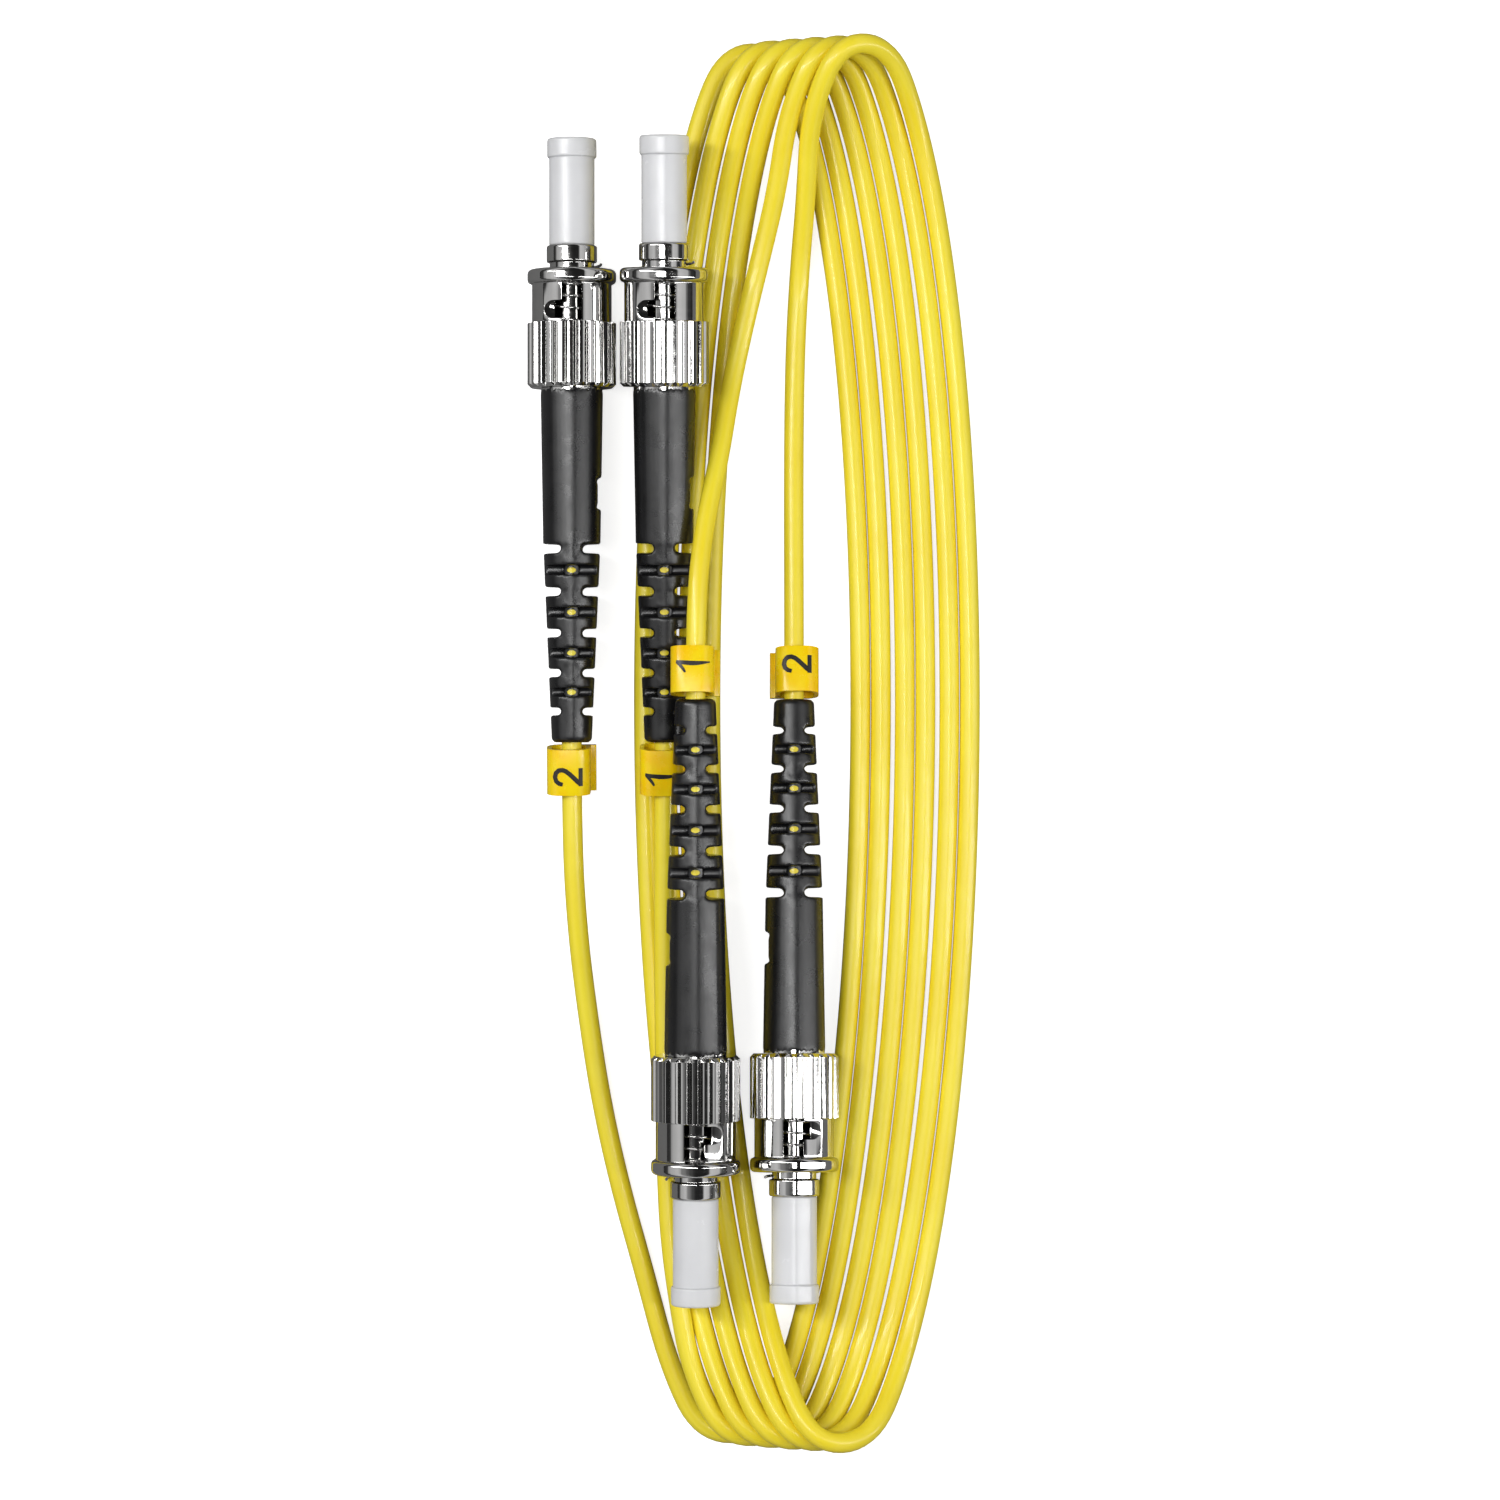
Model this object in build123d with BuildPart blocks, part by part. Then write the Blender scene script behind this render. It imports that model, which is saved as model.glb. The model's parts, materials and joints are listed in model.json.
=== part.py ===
from build123d import *

import os
from math import cos, pi, radians, sin, tan

# Duplex fibre optic patch cord: two jacketed cords with a bayonet plug on each of their four ends,
# coiled and lying on a flat surface.
# The frame has +Z up from the surface and +Y towards the a plugs; its origin is on the surface,
# under the middle of the four plugs. Sizes are in millimetres and angles in degrees.

os.makedirs("parts", exist_ok=True)

# ---- cord ----
cord_dia = 2.0
fibre_dia = 0.9
cord_grip = 3.0            # jacket held inside the crimp sleeve

# ---- ferrule and barrel ----
ferrule_dia = 2.5
ferrule_reach = 5.5        # in front of the barrel's collar
ferrule_seat = 8.3         # pressed into the barrel
ferrule_chamfer = 0.3
barrel_dia = 4.4
barrel_bore_dia = 1.2
collar_step = 0.3
collar_length = 1.7
collar_chamfer = 0.12
stub_dia = 2.9
stub_length = 5.0

# ---- coupling nut ----
spring_room = 1.1          # radial, round the barrel for the spring and its washer
nut_wall = 0.65
nut_step = 0.45            # knurl and flange over the plain tube
knurl_length = 6.43
nut_tube_length = 3.86
nut_flange_length = 1.44
nut_flange_round = 0.45
nut_lip_thickness = 1.0
flute_count = 24
flute_depth = 0.32
knurl_chamfer = 0.35
window_width = 2.0
window_shift = 0.1
catch_dia = 1.8            # end hole of the bayonet slot
catch_shift = 1.85
catch_height = 1.15        # over the front of the knurl

# ---- spring and its washer ----
wire_dia = 0.28
spring_pitch = 1.2
spring_gap = 0.13          # radial, between the spring and the barrel
washer_play = 0.2
washer_thickness = 0.4

# ---- crimp sleeve and boot ----
crimp_wall = 0.45
crimp_chamfer = 0.2
crimp_flange_edge = 0.05   # radial, boot round the flange
crimp_flange_proud = 0.12
crimp_flange_depth = 0.25
boot_front_dia = 6.2
boot_waist_dia = 5.7
boot_end_dia = 4.0
boot_waist_at = 15.3
boot_length = 35.0
boot_end_round = 0.3
slot_first = 15.8
slot_pitch = 4.25
slot_pitch_ratio = 0.965   # each slot follows a little closer than the one before
slot_height = 0.95
slot_height_step = 0.05
cross_slot_bite = 0.12     # how far the cross slots cut into the bore, so that the cord shows
side_slots = 5
recess_at = 8.75
recess_length = 3.12
recess_depth = 0.5
recess_land = 0.1
recess_taper = 0.1         # boot's radius at the recess, over that at its waist
recess_land_margin = 0.55

# ---- dust cap ----
cap_wall = 1.0
cap_length = 8.68
cap_rim_step = 0.2
cap_rim_length = 1.9
cap_bore_depth = 7.2
cap_recess_step = 0.25
cap_recess_depth = 1.0

# ---- marker ring ----
ring_side_room = 0.7        # inside the ring, each side of the cord
ring_depth_room = 0.5
ring_wall = 0.45
ring_length = 4.58
ring_corner = 1.4
ring_gap = 0.45            # from the end of the boot
ring_shift = 0.3           # to the side without the lip
ring_tilt = 9.0
lip_reach = 0.55
lip_thickness = 0.55

# ---- fits ----
running = 0.05             # radial, between parts that turn or slide
end_clearance = 0.03       # axial, between parts that turn or slide
loose = 0.02               # radial, between parts that stay together
cap_clearance = 0.03
collar_gap = 0.7           # nut's front to the collar

# ---- diameters that follow from those above ----
cord_radius = cord_dia / 2
collar_dia = barrel_dia + 2 * collar_step
nut_bore_dia = barrel_dia + 2 * spring_room
nut_tube_dia = nut_bore_dia + 2 * nut_wall
nut_dia = nut_tube_dia + 2 * nut_step
nut_radius = nut_dia / 2
washer_dia = nut_bore_dia - 2 * washer_play
crimp_dia = stub_dia + 2 * crimp_wall
crimp_flange_dia = boot_front_dia - 2 * crimp_flange_edge
cap_dia = ferrule_dia + 2 * cap_wall
cap_rim_dia = cap_dia + 2 * cap_rim_step
cap_recess_dia = ferrule_dia + 2 * cap_recess_step
ring_width = cord_dia + 2 * ring_side_room + 2 * ring_wall
ring_depth = cord_dia + 2 * ring_depth_room + 2 * ring_wall

# ---- where each plug lies: middle of the boot's front face, which way it points, tilt, lip side ----
plug_reach = 32.85
PLUGS = {
    "a1": {"x": -11.03, "y": plug_reach, "z": nut_radius, "points": 1, "rise": 0.0, "lip": 1},
    "a2": {"x": -1.82, "y": plug_reach, "z": 2.17 + nut_radius, "points": 1, "rise": 3.2, "lip": 1},
    "b1": {"x": 1.29, "y": -plug_reach, "z": 3.63 + nut_radius, "points": -1, "rise": -1.8, "lip": -1},
    "b2": {"x": 11.03, "y": -plug_reach, "z": nut_radius, "points": -1, "rise": 2.9, "lip": 1},
}

# ---- coil: outline of the wound turns and the folds at its two ends ----
coil_half_length = 68.88   # to the middle of the cord
coil_middle_y = -2.23
coil_left = -5.05
coil_right = 29.65
fold_a_first = 6.95        # first and last strand in the fold at the a plugs
fold_a_last = 17.95
fold_b_first = 4.65
fold_b_last = 15.71
opening_left = 3.45
opening_right = 16.75
opening_half_length = 61.2
opening_shift = 0.7        # towards the a plugs
fold_height = 5.5 * cord_dia
fold_shelf = 5.5           # from the outer edge of the fold to the start of its slope
fold_slope_end = 13.0
fold_toe = 24.0
fold_slope_end_height = 1.5 * cord_dia
outline_steps = 6

# ---- stations along a plug, from the boot's front face towards the mating end ----
nut_rear = crimp_flange_proud + end_clearance
tube_start = nut_rear + knurl_length
flange_start = tube_start + nut_tube_length
nut_front = flange_start + nut_flange_length
lip_front = nut_rear + nut_lip_thickness
washer_start = lip_front + end_clearance
spring_start = washer_start + washer_thickness
collar_rear = nut_front + collar_gap
collar_front = collar_rear + collar_length
cap_start = collar_front + end_clearance
cap_front = cap_start + cap_length + cap_rim_length
ferrule_rear = collar_front - ferrule_seat
ferrule_front = collar_front + ferrule_reach
boot_end = -boot_length
crimp_rear = -stub_length - cord_grip
ring_start = boot_end - ring_gap


UPWARD = (Align.CENTER, Align.CENTER, Align.MIN)


def disc(height, diameter, mode=Mode.ADD):
    """Add a cylinder on the axis between two heights."""
    with Locations((0, 0, height[0])):
        Cylinder(diameter / 2, height[1] - height[0], align=UPWARD, mode=mode)


def bore(height, diameter):
    """Cut a round hole along the axis between two heights."""
    disc(height, diameter, Mode.SUBTRACT)


def make_dust_cap():
    with BuildPart() as cap:
        disc((cap_start, cap_start + cap_length), cap_dia)
        disc((cap_start + cap_length, cap_front), cap_rim_dia)
        bore((cap_start, cap_start + cap_bore_depth), ferrule_dia + 2 * cap_clearance)
        bore((cap_front - cap_recess_depth, cap_front), cap_recess_dia)
    return cap.part


def make_ferrule():
    radius = ferrule_dia / 2
    tip = ferrule_front - ferrule_chamfer
    with BuildPart() as ferrule:
        with BuildSketch(Plane.XZ):
            with BuildLine():
                Polyline(
                    (0, ferrule_rear),
                    (radius, ferrule_rear),
                    (radius, tip),
                    (radius - ferrule_chamfer, ferrule_front),
                    (0, ferrule_front),
                    close=True,
                )
            make_face()
        revolve()
    return ferrule.part


def make_barrel():
    collar = collar_dia / 2
    with BuildPart() as barrel:
        with BuildSketch(Plane.XZ):
            with BuildLine():
                Polyline(
                    (0, -stub_length),
                    (stub_dia / 2, -stub_length),
                    (stub_dia / 2, crimp_flange_proud),
                    (barrel_dia / 2, crimp_flange_proud),
                    (barrel_dia / 2, collar_rear),
                    (collar, collar_rear),
                    (collar, collar_front - collar_chamfer),
                    (collar - collar_chamfer, collar_front),
                    (0, collar_front),
                    close=True,
                )
            make_face()
        revolve()
        bore((-stub_length, ferrule_rear), barrel_bore_dia)
        bore((ferrule_rear, collar_front), ferrule_dia)
    return barrel.part


def make_coupling_nut():
    front_plane = Plane.XZ
    back_plane = Plane(origin=(0, 0, 0), x_dir=(-1, 0, 0), z_dir=(0, 1, 0))
    lip_bore = barrel_dia + 2 * running
    with BuildPart() as nut:
        with BuildSketch(Plane.XY.offset(nut_rear)):
            Circle(nut_radius)
            with PolarLocations(nut_radius, flute_count):
                RegularPolygon(flute_depth, 4, mode=Mode.SUBTRACT)
        extrude(amount=knurl_length)
        with BuildSketch(Plane.XZ):
            with BuildLine():
                Polyline(
                    (nut_radius - knurl_chamfer, nut_rear),
                    (nut_radius + knurl_chamfer, nut_rear + 2 * knurl_chamfer),
                    (nut_radius + knurl_chamfer, nut_rear),
                    close=True,
                )
            make_face()
        revolve(mode=Mode.SUBTRACT)
        disc((tube_start, flange_start), nut_tube_dia)
        with BuildSketch(Plane.XZ):
            with Locations((nut_radius / 2, flange_start + nut_flange_length / 2)):
                Rectangle(nut_radius, nut_flange_length)
            outer_corners = vertices().group_by(Axis.X)[-1]
            fillet(outer_corners, nut_flange_round)
        revolve()
        bore((nut_rear, lip_front), lip_bore)
        bore((lip_front, nut_front), nut_bore_dia)
        for plane in (front_plane, back_plane):
            with BuildSketch(plane):
                with Locations((window_shift, tube_start + nut_tube_length / 2)):
                    Rectangle(window_width, nut_tube_length)
                with Locations((window_shift - catch_shift / 2, tube_start + catch_height)):
                    Rectangle(catch_shift, catch_dia)
                with Locations((window_shift - catch_shift, tube_start + catch_height)):
                    Circle(catch_dia / 2)
            extrude(amount=nut_radius, mode=Mode.SUBTRACT)
    return nut.part


def make_nut_spring():
    wire = wire_dia / 2
    coil_radius = barrel_dia / 2 + spring_gap + wire
    low = spring_start + wire + end_clearance
    high = collar_rear - wire - end_clearance
    with BuildPart() as spring:
        with BuildLine():
            path = Helix(spring_pitch, high - low, coil_radius, center=(0, 0, low))
        with BuildSketch(Plane(origin=path @ 0, z_dir=path % 0)):
            Circle(wire)
        sweep(path=path)
    return spring.part


def make_spring_washer():
    with BuildPart() as washer:
        disc((washer_start, spring_start), washer_dia)
        bore((washer_start, spring_start), barrel_dia + 2 * running)
    return washer.part


def make_crimp_sleeve():
    flange = crimp_flange_dia / 2
    sleeve = crimp_dia / 2
    with BuildPart() as crimp:
        with BuildSketch(Plane.XZ):
            with BuildLine():
                Polyline(
                    (0, crimp_rear),
                    (sleeve - crimp_chamfer, crimp_rear),
                    (sleeve, crimp_rear + crimp_chamfer),
                    (sleeve, -crimp_flange_depth),
                    (flange, -crimp_flange_depth),
                    (flange, crimp_flange_proud),
                    (0, crimp_flange_proud),
                    close=True,
                )
            make_face()
        revolve()
        bore((crimp_rear, -stub_length), cord_dia)
        bore((-stub_length, crimp_flange_proud), stub_dia)
    return crimp.part


def slot_heights():
    """Heights of the side slots, from the first one back towards the cord."""
    heights = []
    at = -slot_first
    pitch = slot_pitch
    for _ in range(side_slots):
        heights.append(at)
        at -= pitch
        pitch *= slot_pitch_ratio
    return heights


def make_boot():
    side_heights = slot_heights()
    long = boot_front_dia
    cross_inner = cord_radius - cross_slot_bite
    recess_floor = boot_waist_dia / 2 + recess_taper - recess_depth
    recess_middle = -recess_at - recess_length / 2
    with BuildPart() as boot:
        with BuildSketch(Plane.XZ):
            with BuildLine():
                Polyline(
                    (0, boot_end),
                    (boot_end_dia / 2 - boot_end_round, boot_end),
                    (boot_end_dia / 2, boot_end + boot_end_round),
                    (boot_waist_dia / 2, -boot_waist_at),
                    (boot_front_dia / 2, -crimp_flange_depth),
                    (boot_front_dia / 2, 0),
                    (0, 0),
                    close=True,
                )
            make_face()
        revolve()
        bore((boot_end, crimp_rear), cord_dia + 2 * running)
        bore((crimp_rear - loose, 0), crimp_dia + 2 * loose)
        bore((-crimp_flange_depth, 0), crimp_flange_dia)
        for number, height in enumerate(side_heights):
            tall = slot_height - number * slot_height_step
            with BuildSketch(Plane.XZ):
                for side in (-1, 1):
                    with Locations((side * (cord_radius + long / 2), height)):
                        SlotOverall(long, tall)
            extrude(amount=long, both=True, mode=Mode.SUBTRACT)
        for number, (upper, lower) in enumerate(zip(side_heights, side_heights[1:])):
            tall = slot_height - number * slot_height_step
            with BuildSketch(Plane.YZ):
                for side in (-1, 1):
                    with Locations((side * (cross_inner + long / 2), (upper + lower) / 2)):
                        Rectangle(long, tall)
            extrude(amount=long, both=True, mode=Mode.SUBTRACT)
        with BuildSketch(Plane.XZ):
            with Locations((recess_floor + recess_land + long / 2, recess_middle)):
                Rectangle(long, recess_length)
            for end in (-1, 1):
                offset_to_end = end * (recess_length - recess_land_margin) / 2
                with Locations((recess_floor + long / 2, recess_middle + offset_to_end)):
                    Rectangle(long, recess_land_margin)
        extrude(amount=long, both=True, mode=Mode.SUBTRACT)
    return boot.part


def make_cord_end():
    with BuildPart() as jacket:
        disc((boot_end, -stub_length), cord_dia)
    return jacket.part


def make_buffered_fibre():
    with BuildPart() as fibre:
        disc((-stub_length, ferrule_rear), fibre_dia)
    return fibre.part


def make_marker_ring(lip_side):
    """Open-ended tube of flattened section, hanging loose on the cord with its near end up."""
    middle = ring_start - ring_length / 2
    tilt = radians(ring_tilt)
    tilted = Plane(origin=(0, 0, middle), x_dir=(1, 0, 0), z_dir=(0, -sin(tilt), cos(tilt)))
    shift = -lip_side * ring_shift
    lip_middle = lip_side * (ring_width / 2 + lip_reach / 2 - ring_corner / 2) + shift
    with BuildPart() as ring:
        with BuildSketch(tilted.offset(-ring_length / 2)):
            with Locations((shift, 0)):
                RectangleRounded(ring_width, ring_depth, ring_corner)
            with Locations((lip_middle, ring_depth / 2 - lip_thickness / 2)):
                Rectangle(lip_reach + ring_corner, lip_thickness)
            with Locations((shift, 0)):
                inner_corner = ring_corner - ring_wall
                RectangleRounded(
                    ring_width - 2 * ring_wall,
                    ring_depth - 2 * ring_wall,
                    inner_corner,
                    mode=Mode.SUBTRACT,
                )
        extrude(amount=ring_length)
    return ring.part


def seat_plane(place):
    """Plane of a plug: its z axis points out of the mating end and its -y side faces up."""
    rise = radians(place["rise"])
    along = (0, place["points"] * cos(rise), sin(rise))
    return Plane(origin=(place["x"], place["y"], place["z"]), x_dir=(place["points"], 0, 0), z_dir=along)


def write(piece, name):
    piece.label = name
    export_step(piece, f"parts/{name}.step")


PIECES = {
    "dust_cap": make_dust_cap(),
    "ferrule": make_ferrule(),
    "barrel": make_barrel(),
    "coupling_nut": make_coupling_nut(),
    "nut_spring": make_nut_spring(),
    "spring_washer": make_spring_washer(),
    "crimp_sleeve": make_crimp_sleeve(),
    "boot": make_boot(),
    "cord_end": make_cord_end(),
    "buffered_fibre": make_buffered_fibre(),
}

for plug_name, place in PLUGS.items():
    seat = seat_plane(place)
    for piece_name, piece in PIECES.items():
        write(seat.from_local_coords(piece), f"{plug_name}_{piece_name}")
    ring = make_marker_ring(place["lip"])
    write(seat.from_local_coords(ring), f"{plug_name}_marker_ring")


# ---- coil ----
def quarter(corner_x, corner_y, reach_x, reach_y):
    """Quarter of an ellipse about a point, from its side (reach_x) to its end (reach_y)."""
    points = []
    for step in range(outline_steps + 1):
        angle = pi / 2 * step / outline_steps
        points.append((corner_x + reach_x * cos(angle), corner_y + reach_y * sin(angle)))
    return points


coil_reach = coil_half_length + cord_radius
fold_a_edge = coil_middle_y + coil_reach
fold_b_edge = coil_middle_y - coil_reach

with BuildPart() as cord_coil:
    with BuildSketch():
        with BuildLine():
            a_right = quarter(fold_a_last, coil_middle_y, coil_right - fold_a_last, coil_reach)
            a_left = quarter(fold_a_first, coil_middle_y, coil_left - fold_a_first, coil_reach)
            b_left = quarter(fold_b_first, coil_middle_y, coil_left - fold_b_first, -coil_reach)
            b_right = quarter(fold_b_last, coil_middle_y, coil_right - fold_b_last, -coil_reach)
            Spline(*a_right, tangents=[(0, 1), (-1, 0)])
            Line(a_right[-1], a_left[-1])
            Spline(*a_left, tangents=[(0, 1), (1, 0)])
            Spline(*b_left, tangents=[(0, -1), (1, 0)])
            Line(b_left[-1], b_right[-1])
            Spline(*b_right, tangents=[(0, -1), (-1, 0)])
        make_face()
        with Locations(((opening_left + opening_right) / 2, coil_middle_y + opening_shift)):
            Ellipse((opening_right - opening_left) / 2, opening_half_length, mode=Mode.SUBTRACT)
    extrude(amount=fold_height)
    with BuildSketch(Plane.YZ):
        with BuildLine():
            Polyline(
                (fold_b_edge - 1, 0),
                (fold_b_edge - 1, fold_height),
                (fold_b_edge + fold_shelf, fold_height),
                (fold_b_edge + fold_slope_end, fold_slope_end_height),
                (fold_b_edge + fold_toe, cord_dia),
                (fold_a_edge - fold_toe, cord_dia),
                (fold_a_edge - fold_slope_end, fold_slope_end_height),
                (fold_a_edge - fold_shelf, fold_height),
                (fold_a_edge + 1, fold_height),
                (fold_a_edge + 1, 0),
                close=True,
            )
        make_face()
    extrude(amount=2 * coil_right, both=True, mode=Mode.INTERSECT)

write(cord_coil.part, "cord_coil")


# ---- free cord between each boot and the coil ----
def boot_exit(plug_name, distance=0.0):
    """Point on a plug's axis, at a distance behind the end of its boot."""
    point = seat_plane(PLUGS[plug_name]).from_local_coords(Vector(0, 0, boot_end - distance))
    return tuple(point)


straight = 9.5
# points along each tail after its straight start: x, y, and height in cord diameters
TAILS = {
    "a1": [
        (-10.5, -21.0, 1.65),
        (-9.5, -29.5, 0.75),
        (-8.2, -38.0, 0.5),
        (-6.3, -46.5, 0.5),
        (-3.9, -55.0, 0.5),
        (-0.6, -63.0, 0.5),
    ],
    "a2": [
        (-1.9, -21.0, 1.65),
        (-1.85, -29.0, 1.525),
        (-1.75, -37.0, 1.5),
        (-1.65, -45.0, 1.45),
        (-1.3, -51.5, 1.6),
        (-0.3, -58.5, 1.85),
    ],
    "b1": [
        (2.2, 19.5, 3.85),
        (3.6, 26.0, 2.5),
        (4.7, 33.0, 1.6),
        (6.1, 39.5, 1.5),
        (7.7, 46.0, 1.6),
        (9.3, 52.5, 2.1),
        (11.2, 58.5, 3.1),
    ],
    "b2": [
        (11.0, 22.0, 0.75),
        (11.05, 31.0, 0.5),
        (11.2, 38.0, 0.5),
        (11.6, 45.0, 0.7),
        (12.3, 51.5, 1.5),
        (13.3, 57.5, 2.7),
    ],
}


def corner_radii(points):
    """Largest arc that the two runs at each corner leave room for."""
    values = []
    vectors = [Vector(*point) for point in points]
    for before, here, after in zip(vectors, vectors[1:], vectors[2:]):
        run_in = here - before
        run_out = after - here
        turn = radians(run_in.get_angle(run_out))
        shorter = min(run_in.length, run_out.length)
        values.append(0.45 * shorter / tan(turn / 2))
    return values


for plug_name, later_points in TAILS.items():
    points = [boot_exit(plug_name), boot_exit(plug_name, straight)]
    points += [(x, y, level * cord_dia) for x, y, level in later_points]
    bends = corner_radii(points)
    with BuildPart() as tail:
        with BuildLine():
            route = FilletPolyline(*points, radius=bends)
        with BuildSketch(Plane(origin=route @ 0, z_dir=route % 0)):
            Circle(cord_radius)
        sweep(path=route)
    section = pi * cord_radius**2
    ratio = tail.part.volume / (section * route.length)
    print(plug_name, "length", round(route.length, 1), "volume ratio", round(ratio, 4))
    print("    radii", [round(bend, 1) for bend in bends])
    write(tail.part, f"{plug_name}_tail")
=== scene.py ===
"""Duplex fibre optic patch cord: two coiled cords, four bayonet plugs, boots, caps and marker rings."""

import json
from math import cos, pi, radians, sin, sqrt

import bmesh
import bpy
from bpy.props import FloatProperty, FloatVectorProperty, IntProperty, PointerProperty
from mathutils import Matrix, Vector


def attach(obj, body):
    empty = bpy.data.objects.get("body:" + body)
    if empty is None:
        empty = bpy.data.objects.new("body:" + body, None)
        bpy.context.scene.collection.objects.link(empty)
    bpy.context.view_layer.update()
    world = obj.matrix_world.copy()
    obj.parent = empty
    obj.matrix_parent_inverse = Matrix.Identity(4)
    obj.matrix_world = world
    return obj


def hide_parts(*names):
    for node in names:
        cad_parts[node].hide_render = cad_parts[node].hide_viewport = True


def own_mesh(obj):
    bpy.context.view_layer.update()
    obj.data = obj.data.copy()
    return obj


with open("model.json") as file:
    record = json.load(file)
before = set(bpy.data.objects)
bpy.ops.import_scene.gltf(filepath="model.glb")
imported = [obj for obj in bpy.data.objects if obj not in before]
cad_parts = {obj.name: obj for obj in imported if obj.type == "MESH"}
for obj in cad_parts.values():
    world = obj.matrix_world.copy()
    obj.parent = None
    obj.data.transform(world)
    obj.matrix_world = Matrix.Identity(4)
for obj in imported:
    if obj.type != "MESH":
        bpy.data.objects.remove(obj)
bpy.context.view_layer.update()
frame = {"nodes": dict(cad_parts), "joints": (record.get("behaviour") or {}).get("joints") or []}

bl_info = {
    "name": "Fibre optic patch cord",
    "version": (1, 0, 0),
    "blender": (4, 5, 0),
    "location": "View3D > Sidebar > Patch cord",
    "description": "Builds the visible pieces of a duplex patch cord round its packed model",
    "category": "Object",
}

MM = 0.001
PLUG_NAMES = ("a1", "a2", "b1", "b2")
NUMERALS = {"a1": "2", "a2": "1", "b1": "1", "b2": "2"}
LIP_SIDES = {"a1": 1, "a2": 1, "b1": -1, "b2": 1}   # side of the marker ring that carries the lip

# stations along a plug in millimetres, from the boot's front face towards the mating end
NUT_REAR = 0.15
LIP_FRONT = 1.15
WASHER_FRONT = 1.58
KNURL_FRONT = 6.58
FLANGE_REAR = 10.44
NUT_FRONT = 11.88
COLLAR_REAR = 12.58
COLLAR_FRONT = 14.28
CAP_REAR = 14.31
CAP_STEP = 22.99
CAP_FRONT = 24.89
BOOT_END = -35.0
RING_START = -35.45
TURN_STATION = 5.0         # middle of the nut's turning joint


# ---------------------------------------------------------------- sizes and colours
class JacketSettings(bpy.types.PropertyGroup):
    """Sizes and colours of the two cords."""

    diameter: FloatProperty(name="Diameter", description="Outside of the jacket", default=0.002, unit="LENGTH")
    length: FloatProperty(name="Length", description="One cord from boot to boot", default=0.87, unit="LENGTH")
    sides: IntProperty(name="Roundness", description="Steps in a quarter of the section", default=5, min=2)
    yellow: FloatVectorProperty(
        name="Yellow", description="Main jacket colour", default=(0.95, 0.80, 0.04, 1.0), size=4, subtype="COLOR"
    )
    gold: FloatVectorProperty(
        name="Gold", description="Deeper jacket colour", default=(0.92, 0.73, 0.025, 1.0), size=4, subtype="COLOR"
    )


class NutSettings(bpy.types.PropertyGroup):
    """Sizes and colour of the coupling nuts, barrels and springs."""

    diameter: FloatProperty(name="Diameter", description="Over the knurl", default=0.0088, unit="LENGTH")
    tube: FloatProperty(name="Tube", description="Plain tube in front of the knurl", default=0.0079, unit="LENGTH")
    bore: FloatProperty(name="Bore", description="Room for the spring", default=0.0066, unit="LENGTH")
    barrel: FloatProperty(name="Barrel", description="Barrel inside the spring", default=0.0044, unit="LENGTH")
    collar: FloatProperty(name="Collar", description="Collar in front of the nut", default=0.005, unit="LENGTH")
    flutes: IntProperty(name="Flutes", description="Flutes round the knurl", default=24, min=6)
    flute_depth: FloatProperty(name="Flute depth", description="Radial", default=0.00034, unit="LENGTH")
    wire: FloatProperty(name="Wire", description="Spring wire", default=0.00028, unit="LENGTH")
    turns: IntProperty(name="Turns", description="Turns of the spring", default=9, min=2)
    nickel: FloatVectorProperty(
        name="Nickel", description="Plating colour", default=(0.60, 0.595, 0.585, 1.0), size=4, subtype="COLOR"
    )


class BootSettings(bpy.types.PropertyGroup):
    """Finish of the strain-relief boots."""

    edge_steps: IntProperty(name="Edge softening", description="Passes that round the edges", default=4, min=0)
    grain_size: FloatProperty(name="Mesh size", description="Spacing of the skin", default=0.00015, unit="LENGTH")
    black: FloatVectorProperty(
        name="Black", description="Elastomer colour", default=(0.005, 0.005, 0.0055, 1.0), size=4, subtype="COLOR"
    )


class CapSettings(bpy.types.PropertyGroup):
    """Sizes and colour of the dust caps."""

    diameter: FloatProperty(name="Diameter", description="Cap body", default=0.0045, unit="LENGTH")
    rim: FloatProperty(name="Rim", description="Rim at the closed end", default=0.0049, unit="LENGTH")
    bore: FloatProperty(name="Bore", description="Fit on the ferrule", default=0.00256, unit="LENGTH")
    milk: FloatVectorProperty(
        name="Milk white", description="Cap colour", default=(0.75, 0.755, 0.77, 1.0), size=4, subtype="COLOR"
    )


class MarkerSettings(bpy.types.PropertyGroup):
    """Sizes and colours of the numbered marker rings."""

    width: FloatProperty(name="Width", description="Across the ring", default=0.0043, unit="LENGTH")
    depth: FloatProperty(name="Depth", description="Top to bottom", default=0.0039, unit="LENGTH")
    length: FloatProperty(name="Length", description="Along the cord", default=0.00458, unit="LENGTH")
    wall: FloatProperty(name="Wall", description="Wall thickness", default=0.00045, unit="LENGTH")
    numeral: FloatProperty(name="Numeral", description="Height of the numeral", default=0.0027, unit="LENGTH")
    amber: FloatVectorProperty(
        name="Amber", description="Ring colour", default=(1.0, 0.60, 0.0, 1.0), size=4, subtype="COLOR"
    )
    lemon: FloatVectorProperty(
        name="Lemon", description="Lighter ring colour", default=(1.0, 0.76, 0.008, 1.0), size=4, subtype="COLOR"
    )


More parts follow.
